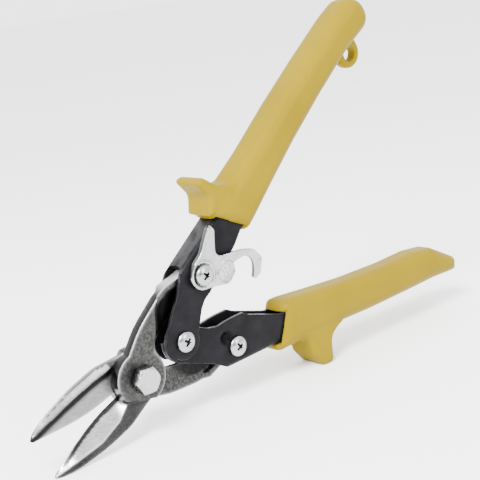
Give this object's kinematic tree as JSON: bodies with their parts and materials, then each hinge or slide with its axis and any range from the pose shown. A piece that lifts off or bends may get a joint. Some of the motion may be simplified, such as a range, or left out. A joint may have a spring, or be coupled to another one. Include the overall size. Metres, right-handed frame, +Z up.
{
  "type": "aviation snips",
  "caption": "Straight cutting compound-leverage snips with forged jaws, pressed steel handle frames, vinyl grips with finger guards, a return spring and a swinging latch.",
  "frame": {"origin": "centre of the bounding box's base, with the tool standing open on the near blade's tip and the lower grip's finger guard", "axes": "+X from the blades towards the handles along the tool's length, +Y through its thickness from the screw heads towards the nuts, +Z up across the handles"},
  "size_m": [0.2586, 0.026, 0.1707],
  "materials": {
    "forged_steel": "satin ground faces, darker forged recesses",
    "blackened_steel": "semi-gloss black over pressed sheet",
    "zinc_plate": "bright zinc plate",
    "yellow_vinyl": "dipped vinyl, soft sheen, no lettering",
    "spring_steel": "oiled wire"
  },
  "bodies": {
    "lower_handle": {"lower_handle_frame": "blackened_steel", "lower_grip": "yellow_vinyl", "handle_pivot_screw": "zinc_plate", "handle_pivot_nut": "zinc_plate", "lower_link_screw": "zinc_plate", "lower_link_nut": "zinc_plate", "lower_link_sleeve": "zinc_plate", "spring_sleeve": "zinc_plate", "return_spring": "spring_steel"},
    "upper_handle": {"upper_handle_frame": "blackened_steel", "upper_grip": "yellow_vinyl", "upper_link_screw": "zinc_plate", "upper_link_nut": "zinc_plate", "upper_link_sleeve": "zinc_plate", "latch_spring_washer": "zinc_plate"},
    "far_jaw": {"far_jaw": "forged_steel", "jaw_bolt": "zinc_plate", "jaw_bolt_washer": "zinc_plate", "jaw_locknut": "zinc_plate"},
    "near_jaw": {"near_jaw": "forged_steel"},
    "latch": {"latch": "zinc_plate"}
  },
  "joints": [
    {"name": "handle_pivot", "type": "hinge", "parent": "lower_handle", "child": "upper_handle", "pos_m": [-0.05411, -0.00085, 0.03782], "axis": [0, 1, 0], "range_deg": [0, 38.2], "stiffness_Nm_per_rad": 0.8, "springref_deg": -68.75, "deforming": ["return_spring"]},
    {"name": "lower_link", "type": "hinge", "parent": "lower_handle", "child": "far_jaw", "pos_m": [-0.02635, -0.00085, 0.02663], "axis": [0, 1, 0], "range_deg": [0, 9.6]},
    {"name": "jaw_pivot", "type": "hinge", "parent": "far_jaw", "child": "near_jaw", "pos_m": [-0.07805, -0.00085, 0.02876], "axis": [0, 1, 0], "range_deg": [0, 19.2]},
    {"name": "latch_pivot", "type": "hinge", "parent": "upper_handle", "child": "latch", "pos_m": [-0.04072, -0.00085, 0.0646], "axis": [0, 1, 0], "range_deg": [-8, 43.4]}
  ],
  "couplings": [
    {"joint": "lower_link", "follows": "handle_pivot", "ratio": 0.2495},
    {"joint": "jaw_pivot", "follows": "handle_pivot", "ratio": 0.501}
  ]
}
